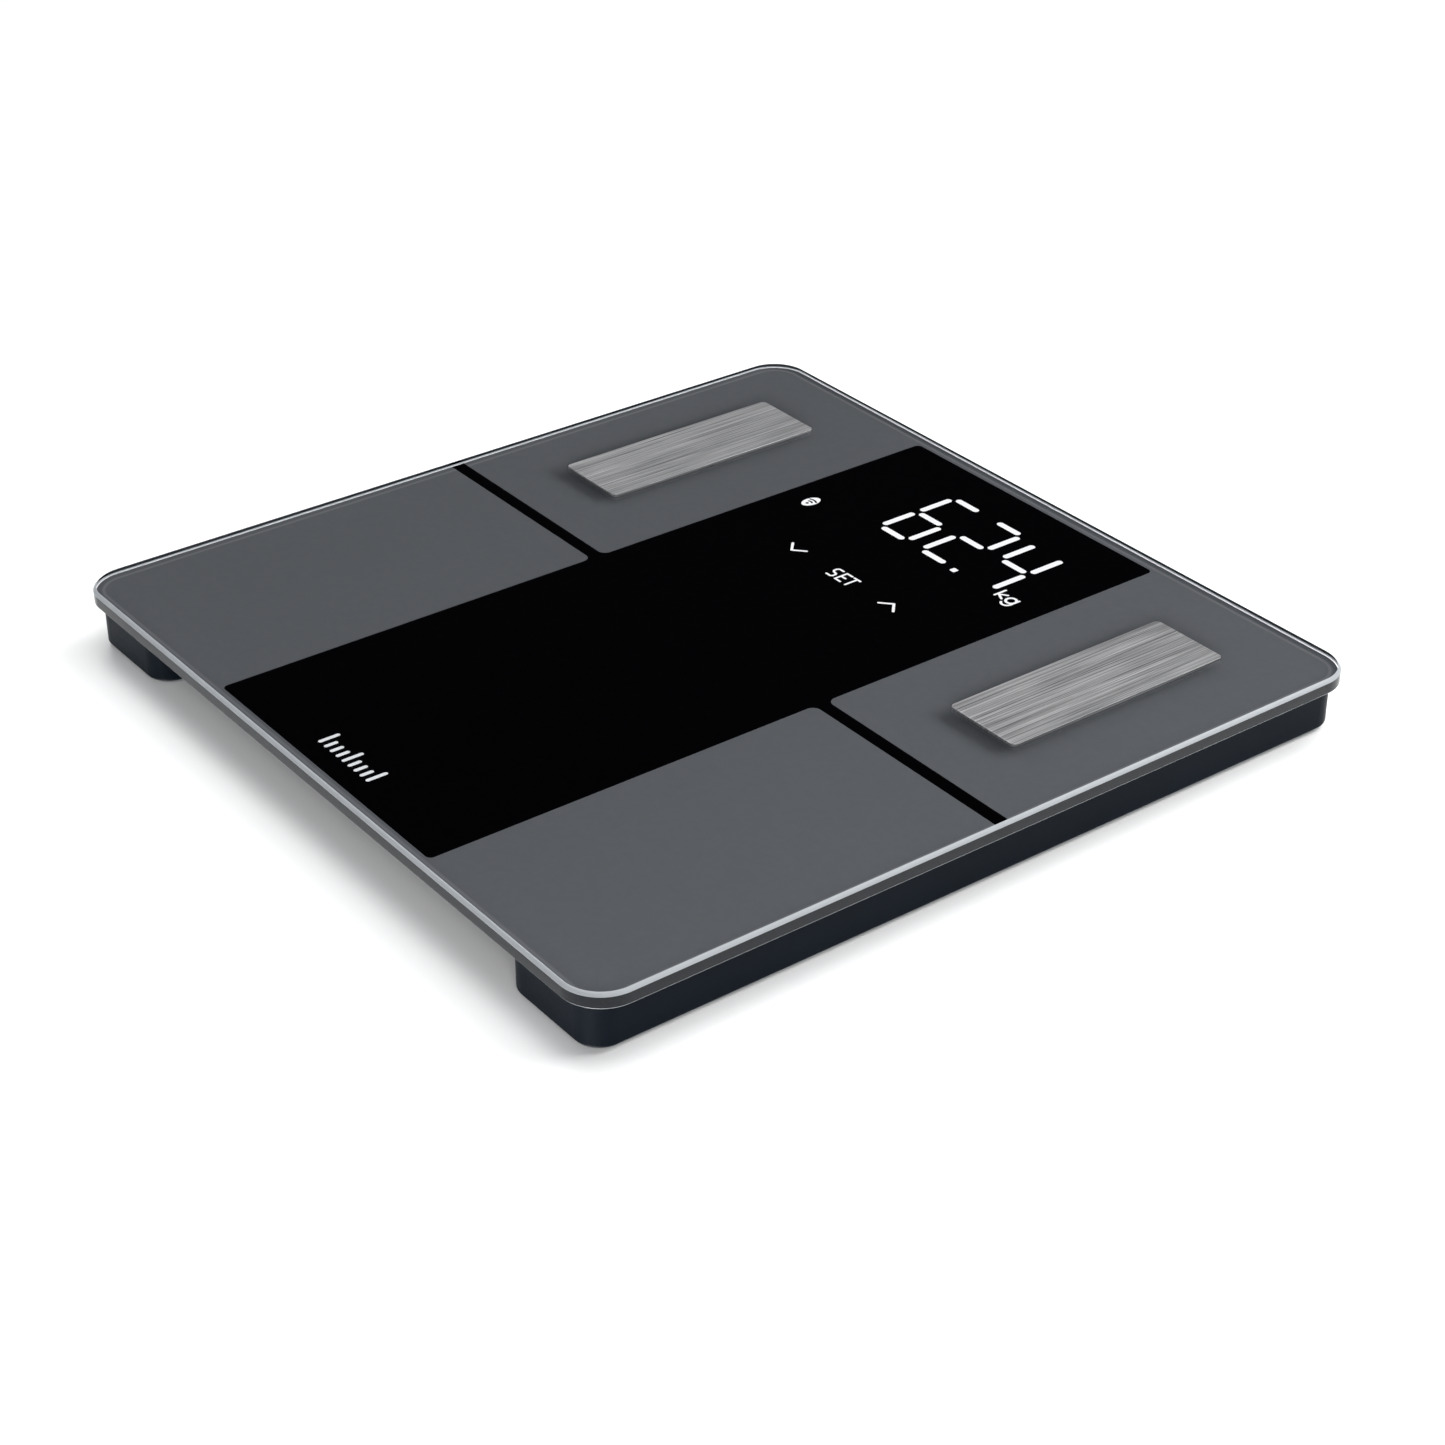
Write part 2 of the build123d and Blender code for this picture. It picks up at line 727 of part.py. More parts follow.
# ---------------------------------------------------------------- battery door
def battery_door():
    near = door_near + door_gap
    far = door_far - door_gap
    leaf_y = far - latch_leaf / 2 - 0.2
    bend_z = housing_bottom + door_thickness + latch_height
    with BuildPart() as door:
        with BuildSketch(level(housing_bottom, 0, (near + far) / 2)):
            Rectangle(2 * (door_half_width - door_gap), far - near)
        extrude(amount=door_thickness)
        fillet(door.edges().filter_by(Axis.Z), door_corner)
        # grip ribs on the outside
        with BuildSketch(level(housing_bottom - grip_height, 0, grip_y)):
            with GridLocations(0, grip_pitch, 1, 3):
                SlotOverall(grip_length, grip_width)
        extrude(amount=grip_height)
        # hinge tabs that reach over the housing's lip
        for x in (-tab_x, tab_x):
            with BuildSketch(level(housing_bottom + door_thickness / 2, x, near + tab_root / 2)):
                Rectangle(tab_width, tab_root)
            extrude(amount=tab_top - housing_bottom - door_thickness / 2)
            with BuildSketch(level(tab_bottom, x, near + (tab_root - tab_reach) / 2)):
                Rectangle(tab_width, tab_reach + tab_root)
            extrude(amount=tab_top - tab_bottom)
        # U-shaped snap latch: inner leg, bend, outer leg with a small nib
        with BuildSketch(Plane((-latch_width / 2, 0, 0), x_dir=(0, 1, 0), z_dir=(1, 0, 0))):
            leg_top = bend_z - housing_bottom
            with Locations((leaf_y, housing_bottom + leg_top / 2)):
                Rectangle(latch_leaf, leg_top)
            with Locations((leaf_y + latch_radius, bend_z)):
                Circle(latch_radius + latch_leaf / 2)
                Circle(latch_radius - latch_leaf / 2, mode=Mode.SUBTRACT)
            with Locations((leaf_y + latch_radius, bend_z - latch_radius)):
                Rectangle(2 * latch_radius - latch_leaf, 2 * latch_radius, mode=Mode.SUBTRACT)
            with Locations((leaf_y + 2 * latch_radius, bend_z - latch_height / 2)):
                Rectangle(latch_leaf, latch_height)
            nib_y = leaf_y + 2 * latch_radius + latch_leaf / 2
            with Locations((nib_y, bend_z - latch_height + latch_nib_up)):
                Rectangle(latch_nib, latch_nib_height)
        extrude(amount=latch_width)
    save(door, "battery_door")


# ---------------------------------------------------------------- batteries and contacts
def batteries():
    half = (battery_body + battery_nub) / 2
    for index in range(cell_count):
        y = battery_y + (index - 1) * battery_pitch
        way = 1 if index % 2 == 0 else -1
        with BuildPart() as battery:
            with BuildSketch(Plane((-way * half, y, battery_z), z_dir=(way, 0, 0))):
                Circle(battery_radius)
            extrude(amount=battery_body)
            fillet(battery.edges().filter_by(GeomType.CIRCLE), battery_seam)
            with BuildSketch(Plane((way * (half - battery_nub), y, battery_z), z_dir=(way, 0, 0))):
                Circle(battery_nub_radius)
            extrude(amount=battery_nub)
        save(battery, f"battery_{index + 1}")

    plate_x = bay_half_width - contact_thickness
    leaf_reach = plate_x - half
    chord = contact_width / 2
    leaf_radius = (chord * chord + leaf_reach * leaf_reach) / (2 * leaf_reach)
    with BuildPart() as springs:
        for index in range(cell_count):
            y = battery_y + (index - 1) * battery_pitch
            end = -1 if index % 2 == 0 else 1
            center_x = end * (half + leaf_radius)
            with BuildSketch(level(battery_z - contact_height / 2)):
                with Locations((center_x, y)):
                    Circle(leaf_radius)
                    Circle(leaf_radius - contact_thickness, mode=Mode.SUBTRACT)
                with Locations((end * (half + plate_x) / 2, y)):
                    Rectangle(plate_x - half, contact_width, mode=Mode.INTERSECT)
                with Locations((end * (plate_x + contact_thickness / 2), y)):
                    Rectangle(contact_thickness, contact_width)
            extrude(amount=contact_height)
    save(springs, "battery_springs")

    with BuildPart() as plates:
        for index in range(cell_count):
            y = battery_y + (index - 1) * battery_pitch
            end = 1 if index % 2 == 0 else -1
            with BuildSketch(level(battery_z - contact_height / 2)):
                with Locations((end * (plate_x + contact_thickness / 2), y)):
                    Rectangle(contact_thickness, contact_width)
            extrude(amount=contact_height)
            with BuildSketch(Plane((end * half, y, battery_z), z_dir=(end, 0, 0))):
                Circle(contact_dimple)
            extrude(amount=plate_x - half)
    save(plates, "battery_plates")


# ---------------------------------------------------------------- circuit board
def all_windows():
    # Every light window of the display: four digit places, point, unit and wireless icon.
    for place in range(4):
        digit_segments(place, "abcdefg")
    with Locations(point_position):
        Rectangle(point_size, point_size)
    with Locations(unit_position):
        Rectangle(*unit_window)
    with Locations(radio_position):
        Rectangle(radio_size[0] + window_margin, radio_size[1] + window_margin)


def electronics():
    screw_y = (board_screw_near + board_screw_far) / 2
    screw_spread = board_screw_far - board_screw_near
    board_y = (board_near + board_far) / 2
    recess_length, recess_width = screw_recess
    with BuildPart() as board:
        with BuildSketch(level(board_bottom, 0, board_y)):
            RectangleRounded(2 * board_half_width, board_far - board_near, board_corner)
            with Locations((0, screw_y - board_y)):
                with GridLocations(2 * board_screw_x, screw_spread, 2, 2):
                    Circle(screw_radius, mode=Mode.SUBTRACT)
        extrude(amount=board_thickness)
    save(board, "main_board")

    with BuildPart() as screws:
        with BuildSketch(level(board_top - screw_length, 0, screw_y)):
            with GridLocations(2 * board_screw_x, screw_spread, 2, 2):
                Circle(screw_radius)
        extrude(amount=screw_length)
        with BuildSketch(level(board_top, 0, screw_y)):
            with GridLocations(2 * board_screw_x, screw_spread, 2, 2):
                Circle(screw_head_radius)
        extrude(amount=screw_head_height)
        with BuildSketch(level(board_top + screw_head_height / 2, 0, screw_y)):
            with GridLocations(2 * board_screw_x, screw_spread, 2, 2):
                Rectangle(recess_length, recess_width)
                Rectangle(recess_width, recess_length)
        extrude(amount=screw_head_height, mode=Mode.SUBTRACT)
    save(screws, "board_screws")

    box_y = (light_box_near + light_box_far) / 2
    box_length = light_box_far - light_box_near
    with BuildPart() as light_box:
        with BuildSketch(level(board_top, 0, box_y)):
            Rectangle(2 * light_box_half_width, box_length)
        extrude(amount=light_box_top - board_top)
        with BuildSketch(level(board_top)):
            all_windows()
        extrude(amount=light_box_top - board_top, mode=Mode.SUBTRACT)
    save(light_box, "display_light_box")

    with BuildPart() as diffuser:
        with BuildSketch(level(light_box_top, 0, box_y)):
            Rectangle(2 * light_box_half_width, box_length)
        extrude(amount=diffuser_thickness)
    save(diffuser, "diffuser_film")

    with BuildPart() as leds:
        with BuildSketch(level(board_top)):
            for place in range(4):
                for (x, y), _, turn in SEGMENTS.values():
                    with Locations((first_digit_x + place * digit_pitch + x, digit_y + y)):
                        Rectangle(*led_size, rotation=turn)
            with Locations(point_position, unit_position, radio_position):
                Rectangle(*led_size)
        extrude(amount=led_height)
    save(leds, "display_leds")

    with BuildPart() as touch_pads:
        with BuildSketch(level(board_top)):
            with Locations(*[(x, key_y) for x in key_x]):
                Circle(touch_pad_radius)
        extrude(amount=film_bottom - board_top)
    save(touch_pads, "touch_pads")

    with BuildPart() as connectors:
        for side in SIDES.values():
            for y in connector_y:
                with BuildSketch(level(board_top, side * connector_x, y)):
                    Rectangle(connector_width, connector_length)
                extrude(amount=connector_height)
        with BuildSketch(level(board_top, *battery_connector)):
            Rectangle(connector_length, connector_width)
        extrude(amount=connector_height)
    save(connectors, "board_connectors")

    with BuildPart() as main_chip:
        with BuildSketch(level(board_bottom - chip_thickness, *chip_position)):
            Rectangle(chip_size, chip_size)
        extrude(amount=chip_thickness)
        chamfer(main_chip.faces().sort_by(Axis.Z)[0].edges(), chip_edge)
    save(main_chip, "main_chip")

    with BuildPart() as radio_module:
        with BuildSketch(level(board_bottom - radio_board_thickness, *radio_board_position)):
            Rectangle(*radio_board_size)
        extrude(amount=radio_board_thickness)
        can_bottom = board_bottom - radio_board_thickness - radio_can_height
        with BuildSketch(level(can_bottom, radio_board_position[0], radio_can_y)):
            RectangleRounded(radio_can_size, radio_can_size, radio_can_corner)
        extrude(amount=radio_can_height)
    save(radio_module, "radio_module")


# ---------------------------------------------------------------- leads
def leads():
    connector_edge = connector_x + connector_width / 2
    for side_name, side in SIDES.items():
        x = side * rail_x
        far_start = gauge_y - gauge_length
        with BuildPart() as far_cable:
            points = [(x, far_start, cable_z), (x, far_notch_y, cable_z)]
            points += [(side * connector_edge, far_notch_y, cable_z)]
            add(lead(points, cable_radius, cable_bend))
        save(far_cable, f"cell_cable_far_{side_name}")
        with BuildPart() as near_cable:
            turn_x = side * cable_turn_x
            points = [(x, -far_start, cable_z), (x, near_notch_y, cable_z), (turn_x, near_notch_y, cable_z)]
            points += [(turn_x, connector_y[0], cable_z), (side * connector_edge, connector_y[0], cable_z)]
            add(lead(points, cable_radius, cable_bend))
        save(near_cable, f"cell_cable_near_{side_name}")

    tail_end = stud_x - terminal_tail
    terminal_z = film_bottom - washer_thickness - terminal_thickness / 2
    turn_x, turn_y = electrode_lead_turn
    with BuildPart() as electrode_leads:
        for side in SIDES.values():
            points = [(side * tail_end, electrode_y, terminal_z), (side * turn_x, electrode_y, terminal_z)]
            points += [(side * turn_x, turn_y, terminal_z), (side * board_half_width, turn_y, terminal_z)]
            points += [(side * board_half_width, turn_y, board_top)]
            add(lead(points, lead_radius, electrode_lead_bend))
    save(electrode_leads, "electrode_leads")

    plug_y = battery_connector[1] - connector_width / 2
    left_plug_x, right_plug_x = lead_plug_x
    with BuildPart() as battery_leads:
        right = [(bay_half_width, lead_y), (right_plug_x, lead_y), (right_plug_x, plug_y)]
        left = [(-bay_half_width, lead_y), (lead_left_x, lead_y), (lead_left_x, lead_around_y)]
        left += [(left_plug_x, lead_around_y), (left_plug_x, plug_y)]
        for route in (right, left):
            add(lead([(x, y, lead_z) for x, y in route], lead_radius, lead_bend))
    save(battery_leads, "battery_leads")


platform()
electrodes()
rails()
feet()
housing()
battery_door()
batteries()
electronics()
leads()
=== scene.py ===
import json
import math

import bmesh
import bpy
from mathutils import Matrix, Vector


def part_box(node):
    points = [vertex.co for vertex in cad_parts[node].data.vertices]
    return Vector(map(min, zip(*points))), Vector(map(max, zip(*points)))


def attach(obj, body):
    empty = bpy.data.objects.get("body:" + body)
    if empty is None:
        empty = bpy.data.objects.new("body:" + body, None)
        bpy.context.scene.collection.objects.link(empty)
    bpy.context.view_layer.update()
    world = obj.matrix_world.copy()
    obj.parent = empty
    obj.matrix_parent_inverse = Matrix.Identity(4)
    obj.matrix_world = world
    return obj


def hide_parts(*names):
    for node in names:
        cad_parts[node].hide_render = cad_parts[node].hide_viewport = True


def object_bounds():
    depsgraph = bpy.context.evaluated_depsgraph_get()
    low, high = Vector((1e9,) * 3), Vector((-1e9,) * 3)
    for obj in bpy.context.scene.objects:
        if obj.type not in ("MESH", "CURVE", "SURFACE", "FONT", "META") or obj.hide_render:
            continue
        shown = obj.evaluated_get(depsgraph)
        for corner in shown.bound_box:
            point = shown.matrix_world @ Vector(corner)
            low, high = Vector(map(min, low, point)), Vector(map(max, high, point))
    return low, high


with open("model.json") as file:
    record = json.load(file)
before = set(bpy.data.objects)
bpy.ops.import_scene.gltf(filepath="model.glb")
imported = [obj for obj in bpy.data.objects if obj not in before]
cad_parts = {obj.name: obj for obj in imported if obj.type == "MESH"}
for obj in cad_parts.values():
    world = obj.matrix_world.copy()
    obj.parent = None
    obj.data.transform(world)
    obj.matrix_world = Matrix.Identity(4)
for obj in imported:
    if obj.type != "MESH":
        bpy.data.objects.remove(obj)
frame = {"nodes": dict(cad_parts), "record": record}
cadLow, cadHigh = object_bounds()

mm = 0.001
touching = 1e-6  # points nearer than this count as one
smoothBelow = math.radians(35)  # edges that turn by less are shaded smooth
nodes = frame["nodes"]
corners = ("near_left", "near_right", "far_left", "far_right")
scene = bpy.context.scene
print("frame loaded:", len(nodes), "nodes")


# camera and light

cameraSetup = {
    "lens": 74.31,
    "sensor": 36.0,
    "nearest": 0.01,
    "place": (0.68422, -0.50905, 0.50167),
    "forward": (-0.68196, 0.51544, -0.51888),
}

cameraData = bpy.data.cameras.new("studioCamera")
cameraData.lens = cameraSetup["lens"]
cameraData.sensor_width = cameraSetup["sensor"]
cameraData.clip_start = cameraSetup["nearest"]
camera = bpy.data.objects.new("studioCamera", cameraData)
scene.collection.objects.link(camera)
camera.location = cameraSetup["place"]
camera.rotation_mode = "QUATERNION"
camera.rotation_quaternion = Vector(cameraSetup["forward"]).to_track_quat("-Z", "Y")
scene.camera = camera
scene.view_settings.view_transform = "Standard"

# place, size and watts; all point at the origin, and the large ones leave no glare on the glass
softboxes = {
    "overheadBox": {"place": (-0.30, 0.20, 1.75), "size": (1.4, 1.4), "watts": 20, "glossy": False},
    "leftKey": {"place": (-1.10, 0.15, 1.40), "size": (0.5, 0.5), "watts": 7, "glossy": True},
    "backKey": {"place": (0.00, 1.15, 1.35), "size": (0.5, 0.5), "watts": 7, "glossy": True},
    "farRightBox": {"place": (0.45, 0.60, 0.65), "size": (0.5, 0.5), "watts": 6.5, "glossy": False},
    "cameraSideBox": {"place": (1.5, -1.3, 1.2), "size": (1.4, 1.0), "watts": 34, "glossy": False},
}
# shines up through the floor sheet, for views from below
underLight = {"strength": 4.0, "softDegrees": 30, "leanDegrees": 20}
# dark at eye level so that the glass stays dark, pale overhead, and white where it is looked at
room = {"horizon": "#161719", "zenith": "#a8acb0", "seen": "#ffffff", "paleFrom": 0.75, "strength": 1.0}


def linear(hexColour):
    parts = [int(hexColour[i:i + 2], 16) / 255 for i in (1, 3, 5)]
    return [p / 12.92 if p <= 0.04045 else ((p + 0.055) / 1.055) ** 2.4 for p in parts] + [1.0]


def addNode(tree, kind, settings=None, inputs=None):
    node = tree.nodes.new(kind)
    for name, value in (settings or {}).items():
        setattr(node, name, value)
    for name, value in (inputs or {}).items():
        if isinstance(value, bpy.types.NodeSocket):
            tree.links.new(value, node.inputs[name])
        else:
            node.inputs[name].default_value = value
    return node


for name, box in softboxes.items():
    lamp = bpy.data.lights.new(name, "AREA")
    lamp.shape = "RECTANGLE"
    lamp.size, lamp.size_y = box["size"]
    lamp.energy = box["watts"]
    stand = bpy.data.objects.new(name, lamp)
    scene.collection.objects.link(stand)
    stand.location = box["place"]
    stand.rotation_mode = "QUATERNION"
    stand.rotation_quaternion = (-stand.location).to_track_quat("-Z", "Y")
    stand.visible_transmission = False  # lamps reach the print straight through the glass
    stand.visible_camera = False
    stand.visible_glossy = box["glossy"]

lamp = bpy.data.lights.new("underLight", "SUN")
lamp.energy = underLight["strength"]
lamp.angle = math.radians(underLight["softDegrees"])
stand = bpy.data.objects.new("underLight", lamp)
scene.collection.objects.link(stand)
stand.rotation_euler = (math.radians(180 - underLight["leanDegrees"]), 0, 0)
stand.visible_transmission = False

world = bpy.data.worlds.new("studioRoom")
scene.world = world
world.use_nodes = True
tree = world.node_tree
tree.nodes.clear()
place = addNode(tree, "ShaderNodeTexCoord")
axes = addNode(tree, "ShaderNodeSeparateXYZ", {}, {0: place.outputs["Generated"]})
rise = addNode(tree, "ShaderNodeMapRange", {"interpolation_type": "SMOOTHSTEP"},
               {"Value": axes.outputs["Z"], "From Min": room["paleFrom"], "From Max": 1.0})
sky = addNode(tree, "ShaderNodeMix", {"data_type": "RGBA"},
              {0: rise.outputs[0], 6: linear(room["horizon"]), 7: linear(room["zenith"])})
path = addNode(tree, "ShaderNodeLightPath")
seen = addNode(tree, "ShaderNodeMix", {"data_type": "RGBA"},
               {0: path.outputs["Is Camera Ray"], 6: sky.outputs[2], 7: linear(room["seen"])})
background = addNode(tree, "ShaderNodeBackground", {}, {"Color": seen.outputs[2], "Strength": room["strength"]})
addNode(tree, "ShaderNodeOutputWorld", {}, {"Surface": background.outputs[0]})
print("camera and lights ready")


# materials

noise = "ShaderNodeTexNoise"
octaves = {"cloud": 3.0, "grain": 2.0, "streak": 4.0, "mottle": 4.0}
tintSpan = (0.32, 0.68)  # a noise pattern seldom leaves the middle part of its range
glossSpan = (0.3, 0.7)


def startMaterial(name, inputs):
    material = bpy.data.materials.new(name)
    material.use_nodes = True
    tree = material.node_tree
    tree.nodes.clear()
    shader = addNode(tree, "ShaderNodeBsdfPrincipled", {}, inputs)
    addNode(tree, "ShaderNodeOutputMaterial", {}, {"Surface": shader.outputs["BSDF"]})
    return material, tree, shader


def addPattern(tree, kind, sizesMm, inputs):
    # a texture whose steps along X, Y and Z are the given millimetres on the piece
    place = addNode(tree, "ShaderNodeTexCoord")
    steps = [1 / (size * mm) for size in sizesMm]
    scaled = addNode(tree, "ShaderNodeMapping", {}, {"Vector": place.outputs["Object"], "Scale": steps})
    return addNode(tree, kind, {}, {"Vector": scaled.outputs[0], "Scale": 1.0, **inputs})


def tintBetween(tree, factor, colours):
    spread = addNode(tree, "ShaderNodeMapRange", {},
                     {"Value": factor, "From Min": tintSpan[0], "From Max": tintSpan[1]})
    mix = addNode(tree, "ShaderNodeMix", {"data_type": "RGBA"},
                  {0: spread.outputs[0], 6: linear(colours[0]), 7: linear(colours[1])})
    return mix.outputs[2]


def coat(tree, shader, colour, pattern, roughness, relief=None):
    # links a colour, a gloss that varies with a pattern, and a relief given as height, strength and depth in mm
    gloss = addNode(tree, "ShaderNodeMapRange", {},
                    {"Value": pattern, "From Min": glossSpan[0], "From Max": glossSpan[1],
                     "To Min": roughness[0], "To Max": roughness[1]})
    tree.links.new(gloss.outputs[0], shader.inputs["Roughness"])
    if colour:
        tree.links.new(colour, shader.inputs["Base Color"])
    if relief:
        height, strength, deepMm = relief
        bump = addNode(tree, "ShaderNodeBump", {},
                       {"Height": height, "Strength": strength, "Distance": deepMm * mm})
        tree.links.new(bump.outputs[0], shader.inputs["Normal"])


def clearWhere(tree, shader, where, colour):
    # light goes straight through the surface wherever the given value is 1
    clear = addNode(tree, "ShaderNodeBsdfTransparent", {}, {"Color": linear(colour)})
    mix = addNode(tree, "ShaderNodeMixShader", {},
                  {0: where, 1: shader.outputs["BSDF"], 2: clear.outputs[0]})
    out = next(node for node in tree.nodes if node.type == "OUTPUT_MATERIAL")
    tree.links.new(mix.outputs[0], out.inputs["Surface"])


plastics = {
    "dark_housing": {
        "material": "spark_eroded_black_abs", "colours": ("#0a1118", "#0d141c"),
        "roughness": (0.34, 0.44), "ior": 1.53, "shine": 0.04,
        "cloudMm": 60, "grainMm": 0.7, "grainDeepMm": 0.02, "grainStrength": 0.35},
    "cap_plastic": {
        "material": "moulded_cream_nylon", "colours": ("#c9c6ba", "#d2cfc4"),
        "roughness": (0.4, 0.52), "ior": 1.5, "shine": 0.5,
        "cloudMm": 20, "grainMm": 0.8, "grainDeepMm": 0.02, "grainStrength": 0.3},
    "cup_plastic": {
        "material": "moulded_black_acetal", "colours": ("#1b1c1e", "#232427"),
        "roughness": (0.42, 0.56), "ior": 1.5, "shine": 0.45,
        "cloudMm": 14, "grainMm": 0.6, "grainDeepMm": 0.02, "grainStrength": 0.3},
    "white_plastic": {
        "material": "moulded_white_abs", "colours": ("#e2e2df", "#ececea"),
        "roughness": (0.4, 0.5), "ior": 1.5, "shine": 0.5,
        "cloudMm": 25, "grainMm": 0.8, "grainDeepMm": 0.01, "grainStrength": 0.2},
    "insulator": {
        "material": "punched_red_fibre", "colours": ("#8d2f24", "#a23a2c"),
        "roughness": (0.55, 0.7), "ior": 1.5, "shine": 0.4,
        "cloudMm": 3, "grainMm": 0.4, "grainDeepMm": 0.02, "grainStrength": 0.4},
    "chip_black": {
        "material": "moulded_epoxy_package", "colours": ("#1a1a1b", "#222223"),
        "roughness": (0.5, 0.62), "ior": 1.55, "shine": 0.4,
        "cloudMm": 5, "grainMm": 0.3, "grainDeepMm": 0.01, "grainStrength": 0.3},
    "gauge_film": {
        "material": "etched_foil_on_polyimide", "colours": ("#a9803f", "#c0954d"),
        "roughness": (0.25, 0.35), "ior": 1.6, "shine": 0.5,
        "cloudMm": 1.2, "grainMm": 0.5, "grainDeepMm": 0.01, "grainStrength": 0.2},
    "led_lens": {
        "material": "cast_phosphor_silicone", "colours": ("#e8dfb0", "#f3ecc6"),
        "roughness": (0.15, 0.25), "ior": 1.53, "shine": 0.5,
        "cloudMm": 1.0, "grainMm": 0.4, "grainDeepMm": 0.005, "grainStrength": 0.2},
}


def plasticMaterial(finish):
    # even colour, a fine grain and softly uneven gloss
    material, tree, shader = startMaterial(
        finish["material"], {"IOR": finish["ior"], "Specular IOR Level": finish["shine"]})
    cloud = addPattern(tree, noise, (finish["cloudMm"],) * 3, {"Detail": octaves["cloud"]}).outputs[0]
    grain = addPattern(tree, noise, (finish["grainMm"],) * 3, {"Detail": octaves["grain"]}).outputs[0]
    coat(tree, shader, tintBetween(tree, cloud, finish["colours"]), grain, finish["roughness"],
         (grain, finish["grainStrength"], finish["grainDeepMm"]))
    return material


metals = {
    "brushed_electrode": {  # short of fully metallic, so that the brushing stays light from every side
        "material": "belt_brushed_stainless_steel", "colours": ("#606163", "#dcdcdd"),
        "metallic": 0.68, "roughness": (0.32, 0.44), "streakMm": (0.27, 45, 0.27), "wander": 0.3,
        "cloudMm": 22, "cloudShare": 0.1, "streakStrength": 0.35, "streakDeepMm": 0.02},
    "load_cell_steel": {
        "material": "blanked_spring_steel", "colours": ("#a9abad", "#c4c6c8"),
        "metallic": 1.0, "roughness": (0.3, 0.42), "streakMm": (0.6, 20, 0.6), "wander": 0.2,
        "cloudMm": 9, "cloudShare": 0.4, "streakStrength": 0.2, "streakDeepMm": 0.01},
    "shield_can": {
        "material": "folded_tinned_steel", "colours": ("#b4b5b3", "#cbccca"),
        "metallic": 1.0, "roughness": (0.28, 0.4), "streakMm": (0.8, 5, 0.8), "wander": 0.5,
        "cloudMm": 4, "cloudShare": 0.6, "streakStrength": 0.15, "streakDeepMm": 0.01},
    "nickel": {
        "material": "nickel_plated_steel", "colours": ("#bdbab2", "#d3d0c8"),
        "metallic": 1.0, "roughness": (0.2, 0.32), "streakMm": (1.0, 3, 1.0), "wander": 0.5,
        "cloudMm": 3, "cloudShare": 0.7, "streakStrength": 0.1, "streakDeepMm": 0.01},
}


def metalMaterial(finish):
    # drawn or brushed one way: long streaks in its tone, gloss and surface
    material, tree, shader = startMaterial(finish["material"], {"Metallic": finish["metallic"]})
    streak = addPattern(tree, noise, finish["streakMm"],
                        {"Detail": octaves["streak"], "Distortion": finish["wander"]}).outputs[0]
    cloud = addPattern(tree, noise, (finish["cloudMm"],) * 3, {"Detail": octaves["cloud"]}).outputs[0]
    both = addNode(tree, "ShaderNodeMix", {"data_type": "FLOAT"},
                   {0: finish["cloudShare"], 2: streak, 3: cloud})
    coat(tree, shader, tintBetween(tree, both.outputs[0], finish["colours"]), streak, finish["roughness"],
         (streak, finish["streakStrength"], finish["streakDeepMm"]))
    return material


inks = {
    "grey_ink": {
        "material": "screen_printed_grey_enamel", "colours": ("#5c5e61", "#5e6063"), "mottleMm": 3.0,
        # a lighter line a little inside the edge is painted light, standing in for light carried in through the
        # glass edge
        "rim": {"inMm": 3.7, "roundMm": 9.5, "softMm": 1.0, "share": 0.9, "colour": "#737477"}},
    "black_ink": {
        "material": "screen_printed_black_enamel", "colours": ("#010102", "#020203"), "mottleMm": 3.0},
    "white_ink": {
        "material": "screen_printed_white_enamel", "colours": ("#e9eaec", "#f2f3f4"), "mottleMm": 0.8},
}
# covers the back of the print, which is seen from below
sealingCoat = {"colours": ("#232527", "#2e3032"), "mottleMm": 0.9, "share": 0.1}


def rimLine(tree, axes, rim):
    # how near a point is to a soft line that follows the plate's rounded outline a little way inside it, where a
    # painted glow stands in for light
    low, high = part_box("glass_platform")
    reach = (high.x - low.x) / 2 - rim["inMm"] * mm - rim["roundMm"] * mm
    past = []
    for axis in ("X", "Y"):
        away = addNode(tree, "ShaderNodeMath", {"operation": "ABSOLUTE"}, {0: axes.outputs[axis]})
        over = addNode(tree, "ShaderNodeMath", {"operation": "SUBTRACT"}, {0: away.outputs[0], 1: reach})
        past.append(addNode(tree, "ShaderNodeMath", {"operation": "MAXIMUM"}, {0: over.outputs[0], 1: 0.0}))
    both = addNode(tree, "ShaderNodeCombineXYZ", {}, {0: past[0].outputs[0], 1: past[1].outputs[0]})
    length = addNode(tree, "ShaderNodeVectorMath", {"operation": "LENGTH"}, {0: both.outputs[0]})
    off = addNode(tree, "ShaderNodeMath", {"operation": "SUBTRACT"},
                  {0: length.outputs["Value"], 1: rim["roundMm"] * mm})
    gap = addNode(tree, "ShaderNodeMath", {"operation": "ABSOLUTE"}, {0: off.outputs[0]})
    return addNode(tree, "ShaderNodeMapRange", {"interpolation_type": "SMOOTHSTEP"},
                   {"Value": gap.outputs[0], "From Min": 0.0, "From Max": rim["softMm"] * mm,
                    "To Min": rim["share"], "To Max": 0.0}).outputs[0]


